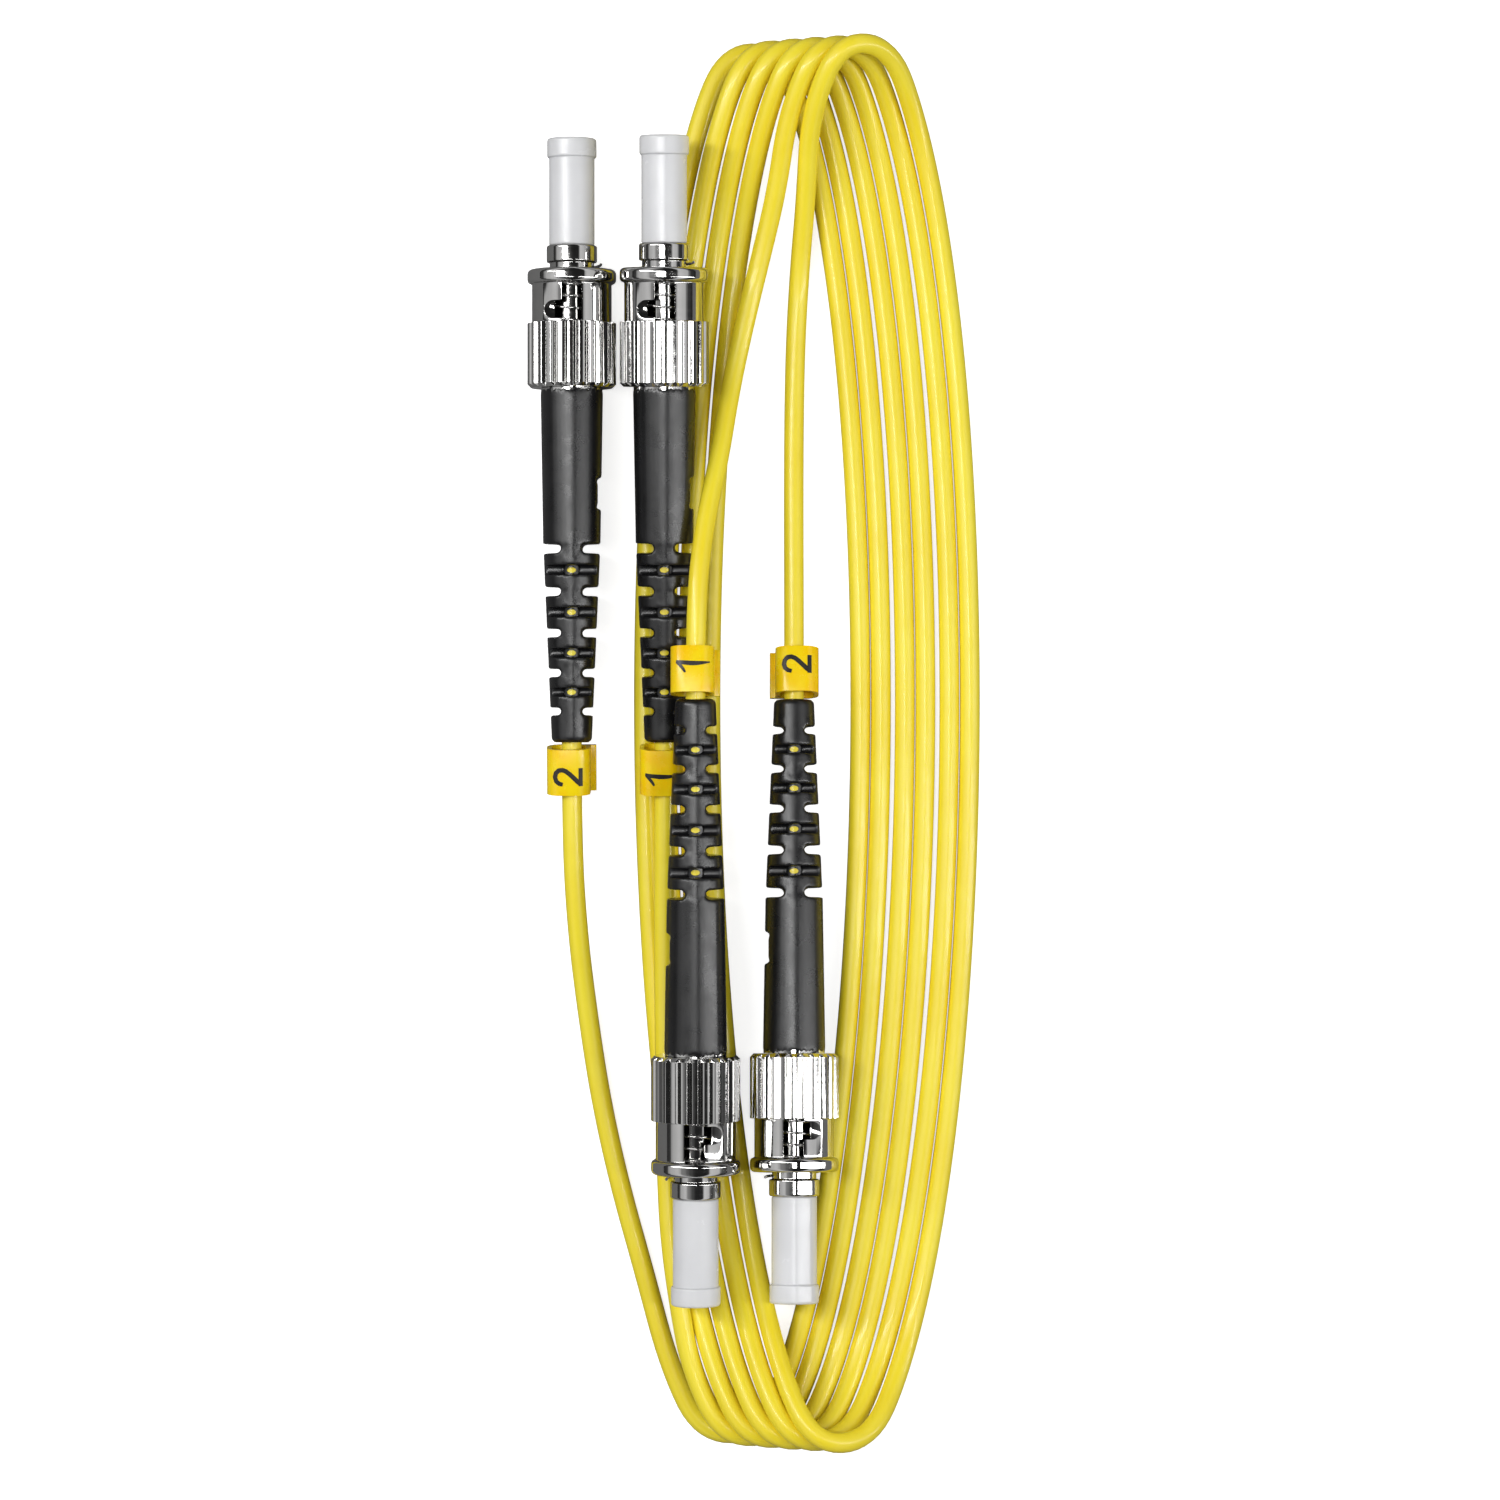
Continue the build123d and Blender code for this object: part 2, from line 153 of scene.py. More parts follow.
class StageSettings(bpy.types.PropertyGroup):
    """Floor, light and camera."""

    lens: FloatProperty(name="Lens", description="Focal length in millimetres", default=135.0)
    view_width: FloatProperty(name="View width", description="Width seen on the floor", default=0.150, unit="LENGTH")
    centre: FloatVectorProperty(
        name="Centre", description="Point under the camera", default=(0.00665, -0.0029, 0.0), subtype="TRANSLATION"
    )
    floor: FloatVectorProperty(
        name="Floor", description="Floor colour", default=(0.93, 0.93, 0.93, 1.0), size=4, subtype="COLOR"
    )
    floor_return: FloatProperty(name="Floor return", description="Share of light the floor sends back", default=0.22)
    floor_glow: FloatProperty(name="Floor glow", description="Light the floor gives off", default=0.80, min=0.0)
    light: FloatProperty(name="Light", description="Strength of the studio light", default=1.0, min=0.0)


# ---------------------------------------------------------------- places on a plug
def seat(plug):
    """Matrix from a plug's own millimetres to the row frame: z runs to its mating end, -y is up."""
    joints = {joint["name"]: joint for joint in frame["joints"]}
    along = Vector(joints[f"{plug}_nut_slide"]["axis"]).normalized()
    turn_centre = Vector(joints[f"{plug}_nut_turn"]["pos_m"])
    side = Vector((1.0 if along.y > 0 else -1.0, 0.0, 0.0))
    down = along.cross(side)
    origin = turn_centre - along * (TURN_STATION * MM)
    turned = Matrix((side, down, along)).transposed().to_4x4()
    return Matrix.Translation(origin) @ turned @ Matrix.Scale(MM, 4)


def on_axis(plug, station):
    return seat(plug) @ Vector((0.0, 0.0, station))


def plug_axis(plug):
    return (seat(plug).to_3x3() @ Vector((0.0, 0.0, 1.0))).normalized()


# ---------------------------------------------------------------- mesh helpers
def rounded_outline(corners, steps=4):
    """Points round a polygon whose corners are (x, y, radius)."""
    points = []
    for index, (x, y, radius) in enumerate(corners):
        here = Vector((x, y))
        before = Vector(corners[index - 1][:2])
        after = Vector(corners[(index + 1) % len(corners)][:2])
        if radius <= 0.0:
            points.append((x, y))
            continue
        to_before = (before - here).normalized()
        to_after = (after - here).normalized()
        half = to_before.angle(to_after) / 2
        reach = radius / sin(half) * cos(half)
        centre = here + (to_before + to_after).normalized() * radius / sin(half)
        first = here + to_before * reach - centre
        last = here + to_after * reach - centre
        sweep = first.angle_signed(last)
        for step in range(steps + 1):
            angle = -sweep * step / steps
            spoke = Matrix.Rotation(angle, 2) @ first
            points.append(tuple(centre + spoke))
    return points


HOLD = 0.02         # how near a run's end its holding point lies
SHORT_RUN = 0.2     # runs shorter than this are left as they are


def held(outline):
    """The outline with a point just inside each end of its long straight runs, so that they shade flat."""
    points = []
    for here, after in zip(outline, [*outline[1:], outline[0]]):
        points.append(tuple(here))
        run = Vector(after) - Vector(here)
        if run.length > SHORT_RUN and max(here[0], after[0]) > HOLD:
            points.append(tuple(Vector(here) + run.normalized() * HOLD))
            points.append(tuple(Vector(after) - run.normalized() * HOLD))
    return points


def finished_mesh(shape, name, sharp=35.0):
    """Turn a bmesh into mesh data with outward normals and smooth shading between sharp edges."""
    bmesh.ops.remove_doubles(shape, verts=shape.verts, dist=1e-5)
    bmesh.ops.recalc_face_normals(shape, faces=shape.faces)
    data = bpy.data.meshes.new(name)
    shape.to_mesh(data)
    shape.free()
    shade(data, sharp)
    return data


def shade(data, sharp=35.0):
    data.polygons.foreach_set("use_smooth", [True] * len(data.polygons))
    data.set_sharp_from_angle(angle=radians(sharp))


def lathe(outline, steps=96):
    """Closed solid of revolution about z, from a closed outline of (radius, height) points."""
    shape = bmesh.new()
    rings = []
    for radius, height in held(outline):
        if radius < 1e-6:
            rings.append([shape.verts.new((0.0, 0.0, height))])
            continue
        ring = []
        for step in range(steps):
            angle = 2 * pi * step / steps
            ring.append(shape.verts.new((radius * cos(angle), radius * sin(angle), height)))
        rings.append(ring)
    for first, second in zip(rings, rings[1:] + rings[:1]):
        if len(first) == 1 and len(second) == 1:
            continue
        for step in range(steps):
            following = (step + 1) % steps
            loop = [first[step % len(first)], second[step % len(second)]]
            if len(second) > 1:
                loop.append(second[following])
            if len(first) > 1:
                loop.append(first[following])
            shape.faces.new(loop)
    return shape


def prism(outline, low, high, hole=None):
    """Straight solid over a closed outline of (x, y) points, with an optional hole."""
    shape = bmesh.new()
    ends = []
    for height in (low, high):
        edges = []
        for loop in filter(None, (outline, hole)):
            verts = [shape.verts.new((x, y, height)) for x, y in loop]
            edges.append([shape.edges.new((a, b)) for a, b in zip(verts, verts[1:] + verts[:1])])
        ends.append(edges)
    for lower, upper in zip(*ends):
        for edge_low, edge_high in zip(lower, upper):
            a, b = edge_low.verts
            c, d = edge_high.verts
            shape.faces.new((a, b, d, c))
    for edges in ends:
        flat = [edge for loop in edges for edge in loop]
        bmesh.ops.triangle_fill(shape, use_beauty=True, use_dissolve=False, edges=flat)
    return shape


def link(name, data):
    piece = bpy.data.objects.new(name, data)
    bpy.context.scene.collection.objects.link(piece)
    return piece


def add_bevel(piece, width, limit=50.0, segments=3):
    bevel = piece.modifiers.new("Edges", "BEVEL")
    bevel.width = width
    bevel.segments = segments
    bevel.limit_method = "ANGLE"
    bevel.angle_limit = radians(limit)
    bevel.harden_normals = False


def baked(piece, name, sharp=35.0):
    """Mesh data of a piece with its modifiers applied; the piece itself is removed."""
    depsgraph = bpy.context.evaluated_depsgraph_get()
    data = bpy.data.meshes.new_from_object(piece.evaluated_get(depsgraph))
    data.name = name
    bpy.data.objects.remove(piece)
    shade(data, sharp)
    return data


def place(data, name, plug, body, material, slot, *nodes):
    """A copy of a plug's mesh, put in its place in the row frame and set on its body."""
    copy = data.copy()
    copy.transform(seat(plug))
    copy.materials.clear()
    copy.materials.append(material)
    piece = link(name, copy)
    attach(piece, body)
    if nodes:
        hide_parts(*nodes)
    return piece


# ---------------------------------------------------------------- geometry node trees
def geometry_tree(name, inputs):
    tree = bpy.data.node_groups.new(name, "GeometryNodeTree")
    tree.is_modifier = True
    tree.interface.new_socket("Geometry", in_out="INPUT", socket_type="NodeSocketGeometry")
    for label, kind in inputs:
        tree.interface.new_socket(label, in_out="INPUT", socket_type=kind)
    tree.interface.new_socket("Geometry", in_out="OUTPUT", socket_type="NodeSocketGeometry")
    return tree, tree.nodes.new("NodeGroupInput"), tree.nodes.new("NodeGroupOutput")


def math_node(tree, operation, first, second):
    node = tree.nodes.new("ShaderNodeMath")
    node.operation = operation
    for socket, value in zip(node.inputs, (first, second)):
        if isinstance(value, (int, float)):
            socket.default_value = value
        else:
            tree.links.new(value, socket)
    return node.outputs[0]


def finish_tree(tree, geometry, entry, leave):
    """Realize the instances and set the material, as every tree here ends."""
    realize = tree.nodes.new("GeometryNodeRealizeInstances")
    merge = tree.nodes.new("GeometryNodeMergeByDistance")
    merge.inputs["Distance"].default_value = 1e-4
    paint = tree.nodes.new("GeometryNodeSetMaterial")
    tree.links.new(geometry, realize.inputs["Geometry"])
    tree.links.new(realize.outputs["Geometry"], merge.inputs["Geometry"])
    tree.links.new(merge.outputs["Geometry"], paint.inputs["Geometry"])
    tree.links.new(entry.outputs["Material"], paint.inputs["Material"])
    tree.links.new(paint.outputs["Geometry"], leave.inputs[0])


def flutes_tree():
    """Repeats one fluted sector round the z axis."""
    tree, entry, leave = geometry_tree(
        "Flutes round an axis", (("Count", "NodeSocketInt"), ("Material", "NodeSocketMaterial"))
    )
    line = tree.nodes.new("GeometryNodeMeshLine")
    line.inputs["Offset"].default_value = (0.0, 0.0, 0.0)
    index = tree.nodes.new("GeometryNodeInputIndex")
    share = math_node(tree, "DIVIDE", 2 * pi, entry.outputs["Count"])
    angle = math_node(tree, "MULTIPLY", index.outputs[0], share)
    turn = tree.nodes.new("ShaderNodeCombineXYZ")
    copies = tree.nodes.new("GeometryNodeInstanceOnPoints")
    tree.links.new(entry.outputs["Count"], line.inputs["Count"])
    tree.links.new(angle, turn.inputs["Z"])
    tree.links.new(line.outputs["Mesh"], copies.inputs["Points"])
    tree.links.new(entry.outputs["Geometry"], copies.inputs["Instance"])
    tree.links.new(turn.outputs[0], copies.inputs["Rotation"])
    finish_tree(tree, copies.outputs["Instances"], entry, leave)
    return tree


def spring_tree():
    """A round-wire spring about z whose last part opens outwards."""
    tree, entry, leave = geometry_tree(
        "Spring wire",
        (
            ("Turns", "NodeSocketFloat"),
            ("Radius", "NodeSocketFloat"),
            ("Height", "NodeSocketFloat"),
            ("Wire radius", "NodeSocketFloat"),
            ("Flare", "NodeSocketFloat"),
            ("Flare start", "NodeSocketFloat"),
            ("Material", "NodeSocketMaterial"),
        ),
    )
    spiral = tree.nodes.new("GeometryNodeCurveSpiral")
    spiral.inputs["Resolution"].default_value = 40
    ring = tree.nodes.new("GeometryNodeCurvePrimitiveCircle")
    ring.inputs["Resolution"].default_value = 14
    along = tree.nodes.new("GeometryNodeSplineParameter")
    opening = tree.nodes.new("ShaderNodeMapRange")
    opening.interpolation_type = "SMOOTHSTEP"
    position = tree.nodes.new("GeometryNodeInputPosition")
    outward = tree.nodes.new("ShaderNodeVectorMath")
    outward.operation = "MULTIPLY"
    outward.inputs[1].default_value = (1.0, 1.0, 0.0)
    push = tree.nodes.new("ShaderNodeVectorMath")
    push.operation = "SCALE"
    moved = tree.nodes.new("GeometryNodeSetPosition")
    wire = tree.nodes.new("GeometryNodeCurveToMesh")
    wire.inputs["Fill Caps"].default_value = True
    amount = math_node(tree, "DIVIDE", entry.outputs["Flare"], entry.outputs["Radius"])
    scale = math_node(tree, "MULTIPLY", opening.outputs["Result"], amount)
    links = (
        (entry.outputs["Turns"], spiral.inputs["Rotations"]),
        (entry.outputs["Radius"], spiral.inputs["Start Radius"]),
        (entry.outputs["Radius"], spiral.inputs["End Radius"]),
        (entry.outputs["Height"], spiral.inputs["Height"]),
        (entry.outputs["Wire radius"], ring.inputs["Radius"]),
        (along.outputs["Factor"], opening.inputs["Value"]),
        (entry.outputs["Flare start"], opening.inputs["From Min"]),
        (position.outputs[0], outward.inputs[0]),
        (outward.outputs[0], push.inputs[0]),
        (scale, push.inputs["Scale"]),
        (spiral.outputs[0], moved.inputs["Geometry"]),
        (push.outputs[0], moved.inputs["Offset"]),
        (moved.outputs[0], wire.inputs["Curve"]),
        (ring.outputs[0], wire.inputs["Profile Curve"]),
    )
    for source, target in links:
        tree.links.new(source, target)
    finish_tree(tree, wire.outputs[0], entry, leave)
    return tree


def add_tree(piece, tree, values):
    """Give a piece a node modifier and set its inputs by socket identifier."""
    modifier = piece.modifiers.new(tree.name, "NODES")
    modifier.node_group = tree
    sockets = {item.name: item.identifier for item in tree.interface.items_tree if item.in_out == "INPUT"}
    for label, value in values.items():
        modifier[sockets[label]] = value


# ---------------------------------------------------------------- shader groups
def shader_group(name, inputs, outputs):
    tree = bpy.data.node_groups.new(name, "ShaderNodeTree")
    for label, kind, value in inputs:
        socket = tree.interface.new_socket(label, in_out="INPUT", socket_type=kind)
        if value is not None:
            socket.default_value = value
    for label, kind in outputs:
        tree.interface.new_socket(label, in_out="OUTPUT", socket_type=kind)
    return tree, tree.nodes.new("NodeGroupInput"), tree.nodes.new("NodeGroupOutput")


def noise_node(tree, vector, scale, detail=3.0, roughness=0.5):
    node = tree.nodes.new("ShaderNodeTexNoise")
    node.inputs["Detail"].default_value = detail
    node.inputs["Roughness"].default_value = roughness
    tree.links.new(vector, node.inputs["Vector"])
    if isinstance(scale, (int, float)):
        node.inputs["Scale"].default_value = scale
    else:
        tree.links.new(scale, node.inputs["Scale"])
    return node.outputs["Fac"]


def spread(tree, value, low, high, to_low=0.0, to_high=1.0):
    node = tree.nodes.new("ShaderNodeMapRange")
    tree.links.new(value, node.inputs["Value"])
    for label, number in (("From Min", low), ("From Max", high), ("To Min", to_low), ("To Max", to_high)):
        if isinstance(number, (int, float)):
            node.inputs[label].default_value = number
        else:
            tree.links.new(number, node.inputs[label])
    return node.outputs["Result"]


def colour_drift_group():
    """Two colours that drift into each other over a few millimetres."""
    tree, entry, leave = shader_group(
        "Colour drift",
        (
            ("Vector", "NodeSocketVector", None),
            ("Colour", "NodeSocketColor", None),
            ("Deeper", "NodeSocketColor", None),
            ("Scale", "NodeSocketFloat", 150.0),
        ),
        (("Colour", "NodeSocketColor"),),
    )
    cloud = noise_node(tree, entry.outputs["Vector"], entry.outputs["Scale"])
    share = spread(tree, cloud, 0.35, 0.65)
    mix = tree.nodes.new("ShaderNodeMix")
    mix.data_type = "RGBA"
    tree.links.new(share, mix.inputs["Factor"])
    tree.links.new(entry.outputs["Colour"], mix.inputs[6])
    tree.links.new(entry.outputs["Deeper"], mix.inputs[7])
    tree.links.new(mix.outputs[2], leave.inputs["Colour"])
    return tree


def handling_group():
    """Faint rubs and dust: a roughness that changes over the surface, and a fine relief."""
    tree, entry, leave = shader_group(
        "Handling marks",
        (
            ("Vector", "NodeSocketVector", None),
            ("Smoothest", "NodeSocketFloat", 0.3),
            ("Roughest", "NodeSocketFloat", 0.5),
            ("Grain", "NodeSocketFloat", 3000.0),
        ),
        (("Roughness", "NodeSocketFloat"), ("Height", "NodeSocketFloat")),
    )
    cloud = noise_node(tree, entry.outputs["Vector"], 420.0, detail=5.0, roughness=0.6)
    rough = spread(tree, cloud, 0.38, 0.68, entry.outputs["Smoothest"], entry.outputs["Roughest"])
    grain = noise_node(tree, entry.outputs["Vector"], entry.outputs["Grain"], detail=2.0)
    tree.links.new(rough, leave.inputs["Roughness"])
    tree.links.new(grain, leave.inputs["Height"])
    return tree


GROUPS = {}
MATERIALS = {}


def group_named(name, build):
    if name not in GROUPS:
        GROUPS[name] = build()
    return GROUPS[name]


def finish_material(
    name, colour, deeper, drift, smoothest, roughest, grain, relief, stretch=(1.0, 1.0, 1.0), **fixed
):
    """Principled material with drifting colour, uneven gloss and fine relief, on object coordinates."""
    if name in MATERIALS:
        return MATERIALS[name]
    material = bpy.data.materials.new(name)
    material.use_nodes = True
    tree = material.node_tree
    shader = tree.nodes["Principled BSDF"]
    where = tree.nodes.new("ShaderNodeTexCoord").outputs["Object"]
    drifting = tree.nodes.new("ShaderNodeGroup")
    drifting.node_tree = group_named("Colour drift", colour_drift_group)
    drifting.inputs["Colour"].default_value = colour
    drifting.inputs["Deeper"].default_value = deeper
    drifting.inputs["Scale"].default_value = drift
    tree.links.new(where, drifting.inputs["Vector"])
    tree.links.new(drifting.outputs["Colour"], shader.inputs["Base Color"])
    mapping = tree.nodes.new("ShaderNodeMapping")
    mapping.inputs["Scale"].default_value = stretch
    tree.links.new(where, mapping.inputs["Vector"])
    marks = tree.nodes.new("ShaderNodeGroup")
    marks.node_tree = group_named("Handling marks", handling_group)
    marks.inputs["Smoothest"].default_value = smoothest
    marks.inputs["Roughest"].default_value = roughest
    marks.inputs["Grain"].default_value = grain
    tree.links.new(mapping.outputs[0], marks.inputs["Vector"])
    tree.links.new(marks.outputs["Roughness"], shader.inputs["Roughness"])
    bump = tree.nodes.new("ShaderNodeBump")
    bump.inputs["Distance"].default_value = relief
    tree.links.new(marks.outputs["Height"], bump.inputs["Height"])
    tree.links.new(bump.outputs["Normal"], shader.inputs["Normal"])
    for label, value in fixed.items():
        shader.inputs[label.replace("_", " ")].default_value = value
    MATERIALS[name] = material
    return material


def darker(colour, share):
    return tuple(channel * share for channel in colour[:3]) + (1.0,)


def jacket_material():
    settings = bpy.context.scene.patch_jacket
    return finish_material(
        "jacket yellow", settings.yellow, settings.gold, 90.0, 0.30, 0.42, 2600.0, 6e-6, Coat_Weight=0.15
    )


def nickel_material():
    colour = bpy.context.scene.patch_nut.nickel
    return finish_material(
        "nickel plate", colour, darker(colour, 0.94), 300.0, 0.05, 0.10, 900.0, 3e-7,
        stretch=(0.05, 6.0, 0.05), Metallic=1.0,
    )


def spring_material():
    return finish_material(
        "spring wire", (0.72, 0.71, 0.70, 1.0), (0.60, 0.59, 0.58, 1.0), 600.0, 0.14, 0.26, 5000.0, 1e-6, Metallic=1.0
    )


def boot_material():
    colour = bpy.context.scene.patch_boot.black
    return finish_material(
        "boot elastomer", colour, darker(colour, 1.8), 200.0, 0.26, 0.34, 6000.0, 3e-6, Specular_IOR_Level=0.55
    )


def cap_material():
    colour = bpy.context.scene.patch_cap.milk
    return finish_material(
        "cap polyethylene", colour, darker(colour, 0.95), 250.0, 0.20, 0.28, 1500.0, 3e-6,
        Subsurface_Weight=0.35, Subsurface_Radius=(0.0015, 0.0015, 0.0016), Subsurface_Scale=1.0,
    )


def marker_material():
    settings = bpy.context.scene.patch_marker
    return finish_material(
        "marker plastic", settings.lemon, settings.amber, 260.0, 0.22, 0.34, 2000.0, 3e-6,
        Subsurface_Weight=0.1, Subsurface_Radius=(0.0008, 0.0004, 0.0001), Subsurface_Scale=1.0,
    )


def ink_material():
    return finish_material(
        "numeral ink", (0.006, 0.006, 0.007, 1.0), (0.02, 0.018, 0.012, 1.0), 900.0, 0.35, 0.55, 5000.0, 1e-6
    )


def zirconia_material():
    return finish_material(
        "zirconia", (0.86, 0.84, 0.79, 1.0), (0.82, 0.80, 0.74, 1.0), 300.0, 0.10, 0.16, 3000.0, 1e-6
    )


def buffer_material():
    return finish_material(
        "fibre buffer", (0.80, 0.80, 0.74, 1.0), (0.74, 0.74, 0.68, 1.0), 400.0, 0.45, 0.6, 4000.0, 3e-6
    )


# ---------------------------------------------------------------- cords
TIP_ANGLE = 13.0           # free angle each side of a fold
FOLD_STEPS = 11            # points in half a turn
HALF_TURNS = 5
HALF_WIDTH = 12.0
MIDDLE_Y = -2.23
HALF_LENGTH = 68.88 / cos(radians(TIP_ANGLE))
DRIFT_PER_HALF = 2.22
LEAN = (0.0, 4.4, 4.2, 5.3, 6.5, 5.35)     # how far a fold climbs from one side to the other
BASE = (0.0, 0.2, 1.8, 2.5, 3.0, 5.2)      # how far it lies over the floor on its lower side
LEAN_WIDTH = 32.5
FALL_RIGHT = (14.75, 19.25)
FALL_LEFT = (13.5, 34.5)


def smooth(value):
    value = max(0.0, min(1.0, value))
    return value * value * (3.0 - 2.0 * value)


def fold_height(fold, offset):
    """Height of a cord's middle at an angle from the tip of a fold, positive on its left side."""
    climb = LEAN[fold] * smooth((offset + LEAN_WIDTH) / (2 * LEAN_WIDTH))
    start, reach = FALL_RIGHT if offset < 0 else FALL_LEFT
    fall = 1.0 - smooth((abs(offset) - start) / reach)
    return 1.0 + (climb + BASE[fold]) * fall


def coil_points(first_x, first_fold, squeeze):
    """Route of one cord's turns in millimetres, from the fold at the b plugs."""
    step = (180.0 - 2 * TIP_ANGLE) / (FOLD_STEPS - 1)
    angles = [-TIP_ANGLE - step, -TIP_ANGLE]
    for half in range(HALF_TURNS):
        angles += [180.0 * half + TIP_ANGLE + number * step for number in range(FOLD_STEPS)]
    angles += [180.0 * HALF_TURNS + TIP_ANGLE, 180.0 * HALF_TURNS + TIP_ANGLE + step]
    points = []
    for angle in angles:
        turn = radians(angle)
        x = first_x + DRIFT_PER_HALF * turn / pi + HALF_WIDTH * sin(turn)
        x -= squeeze * max(0.0, sin(turn)) ** 2
        y = MIDDLE_Y - HALF_LENGTH * cos(turn)
        z = 1.0
        lower = int(angle // 180.0)
        for tip in (lower, lower + 1):
            if 0 <= tip <= HALF_TURNS:
                away = angle - 180.0 * tip
                offset = -away if tip % 2 == 0 else away
                z = max(z, fold_height(first_fold + 2 * (tip // 2), offset))
        if angle < -TIP_ANGLE or angle > 180.0 * HALF_TURNS + TIP_ANGLE:
            end_tip = 0 if angle < 0 else HALF_TURNS
            z = fold_height(first_fold + 2 * (end_tip // 2), TIP_ANGLE + step)
        points.append((x, y, z))
    return points


STRAIGHT = 9.5
TAILS = {
    "a1": ((-10.5, -21.0, 3.3), (-9.5, -29.5, 1.5), (-8.2, -38.0, 1.0), (-6.3, -46.5, 1.0), (-3.9, -55.0, 1.0)),
    "a2": ((-1.9, -21.0, 3.3), (-1.85, -29.0, 3.05), (-1.75, -37.0, 3.0), (-1.65, -45.0, 2.9), (-1.3, -51.5, 3.2),
           (-0.4, -58.0, 3.7)),
    "b1": ((2.2, 19.5, 7.7), (3.6, 26.0, 5.0), (4.7, 33.0, 3.2), (6.1, 39.5, 3.0), (7.7, 46.0, 3.2),
           (9.3, 52.5, 4.6)),
    "b2": ((11.0, 22.0, 1.5), (11.05, 31.0, 1.0), (11.2, 38.0, 1.0), (11.6, 45.0, 1.4), (12.2, 52.0, 3.6)),
}
CORDS = {"cord_first": ("a1", "b1", 4.65, 0, 0.0), "cord_second": ("a2", "b2", 6.85, 1, 0.16)}


def tail_points(plug):
    """Route in metres from a boot's end towards the coil."""
    points = [on_axis(plug, BOOT_END), on_axis(plug, BOOT_END - STRAIGHT)]
    points += [Vector(point) * MM for point in TAILS[plug]]
    return points


class PATCHCORD_OT_cords(bpy.types.Operator):
    """Lay the two jacketed cords from boot to boot through the coil"""

    bl_idname = "patchcord.cords"
    bl_label = "Cords"

    def execute(self, context):
        settings = context.scene.patch_jacket
        for name, (start, end, first_x, first_fold, squeeze) in CORDS.items():
            route = tail_points(start)
            route += [Vector(point) * MM for point in coil_points(first_x, first_fold, squeeze)]
            route += reversed(tail_points(end))
            data = bpy.data.curves.new(name, "CURVE")
            data.dimensions = "3D"
            spline = data.splines.new("NURBS")
            spline.points.add(len(route) - 1)
            for point, place_at in zip(spline.points, route):
                point.co = (*place_at, 1.0)
            spline.order_u = 3
            spline.use_endpoint_u = True
            spline.resolution_u = 8
            data.bevel_depth = settings.diameter / 2
            data.bevel_resolution = settings.sides
            data.use_fill_caps = True
            data.materials.append(jacket_material())
            cord = link(name, data)
            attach(cord, "root")
            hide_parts("cord_coil", f"{start}_tail", f"{end}_tail")
        return {"FINISHED"}


# ---------------------------------------------------------------- coupling nuts and barrels
WINDOW_LEFT = -0.9
WINDOW_RIGHT = 1.1
CATCH_X = -1.75
CATCH_Z = KNURL_FRONT + 1.15
CATCH_RADIUS = 0.9


def knurl_sector(settings):
    """One flute's share of the nut, from the middle of a groove to the middle of the next."""
    radius = settings.diameter / MM / 2
    tube = settings.tube / MM / 2
    bore = settings.bore / MM / 2
    lip_bore = settings.barrel / MM / 2 + 0.05
    depth = settings.flute_depth / MM
    half = pi / settings.flutes
    outline = held(rounded_outline(
        (
            (lip_bore, NUT_REAR, 0.06),
            (radius - 0.36, NUT_REAR, 0.0),
            (radius - 0.27, NUT_REAR + 0.09, 0.0),
            (radius - 0.18, NUT_REAR + 0.18, 0.0),
            (radius - 0.09, NUT_REAR + 0.27, 0.0),
            (radius, NUT_REAR + 0.36, 0.0),
            (radius, KNURL_FRONT, 0.08),
            (tube, KNURL_FRONT, 0.06),
            (tube, FLANGE_REAR, 0.12),
            (radius, FLANGE_REAR, 0.42),
            (radius, NUT_FRONT, 0.46),
            (bore, NUT_FRONT, 0.14),
            (bore, LIP_FRONT, 0.0),
            (lip_bore, LIP_FRONT, 0.06),
        ),
        steps=5,
    ))
    flank = 0.45
    shares = (-1.0, -0.95, -flank - 0.06, -flank, -flank + 0.06, 0.0, flank - 0.06, flank, flank + 0.06, 0.95, 1.0)
    shape = bmesh.new()
    columns = []
    for share in shares:
        outside = max(0.0, abs(share) - flank) / (1.0 - flank)
        groove = radius - depth * outside
        if abs(abs(share) - flank) < 0.01:
            groove = radius - LAND_DROP
        column = []
        for at, height in outline:
            knurled = height < KNURL_FRONT + NEAR
            reach = min(at, groove) if knurled and at > tube + NEAR else at
            column.append(shape.verts.new((reach * cos(share * half), reach * sin(share * half), height)))
        columns.append(column)
    for first, second in zip(columns, columns[1:]):
        for index in range(len(outline)):
            after = (index + 1) % len(outline)
            shape.faces.new((first[index], second[index], second[after], first[after]))
    return finished_mesh(shape, "knurl sector")


CUT_FROM, CUT_TO = 2.9, 6.0     # distances from the axis that the slot's cutter spans
LAND_DROP = 0.008               # softens the corner of a land
NEAR = 0.001                    # two heights nearer than this are the same


